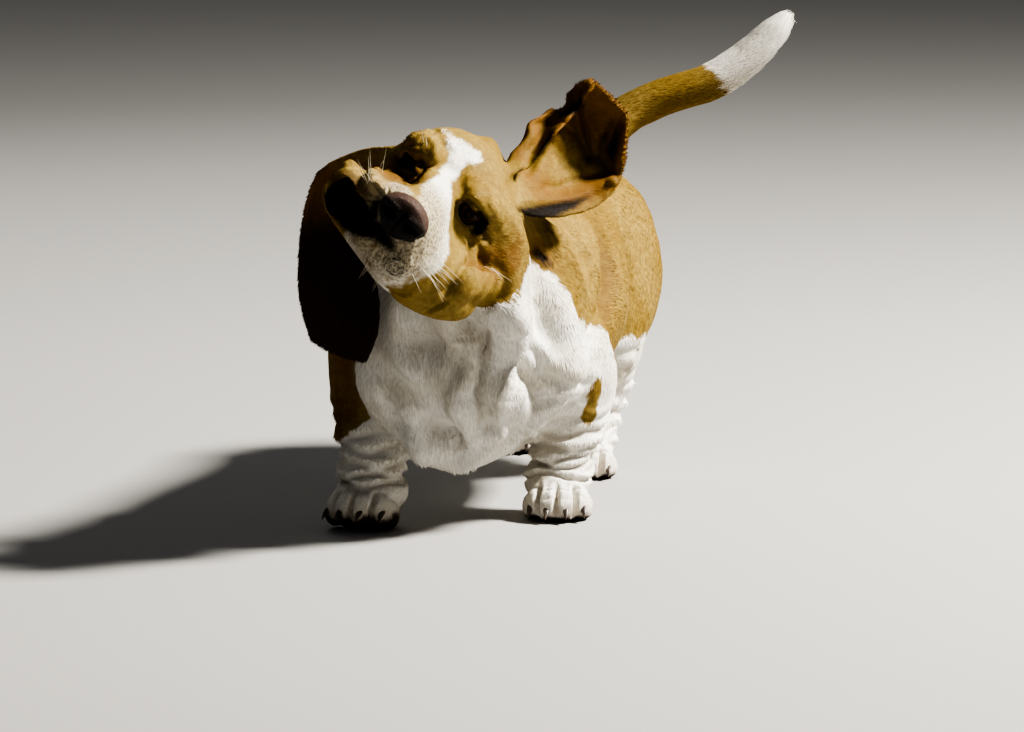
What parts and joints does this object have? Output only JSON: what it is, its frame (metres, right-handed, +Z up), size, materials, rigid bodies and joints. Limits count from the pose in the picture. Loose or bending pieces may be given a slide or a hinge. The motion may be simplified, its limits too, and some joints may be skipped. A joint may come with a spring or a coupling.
{
  "type": "basset hound model",
  "caption": "Life-size still model of a trotting basset hound shaking its head, one long ear flung up, the other hanging, tail raised; it stands on its four paws.",
  "frame": {"origin": "on the floor, below the middle of the dog's bounding box", "axes": "+Z up, -Y the way the dog faces, +X the dog's left"},
  "size_m": [0.3946, 0.9236, 0.5075],
  "materials": {
    "tan_coat": "short tan fur",
    "brown_coat": "short dark red-brown fur",
    "white_coat": "short white fur",
    "eye": "wet dark brown eye",
    "nose_leather": "damp black nose leather",
    "claw": "dark horn"
  },
  "bodies": {
    "root": {"ear_left": "brown_coat", "ear_right": "brown_coat", "eye_left": "eye", "eye_right": "eye", "fore_leg_left": "white_coat", "fore_leg_right": "white_coat", "fore_paw_left": "white_coat", "fore_paw_right": "white_coat", "head": "tan_coat", "hind_leg_left": "white_coat", "hind_leg_right": "white_coat", "hind_paw_left": "white_coat", "hind_paw_right": "white_coat", "jaw": "white_coat", "neck": "white_coat", "nose": "nose_leather", "tail": "tan_coat", "torso": "tan_coat"}
  },
  "joints": []
}
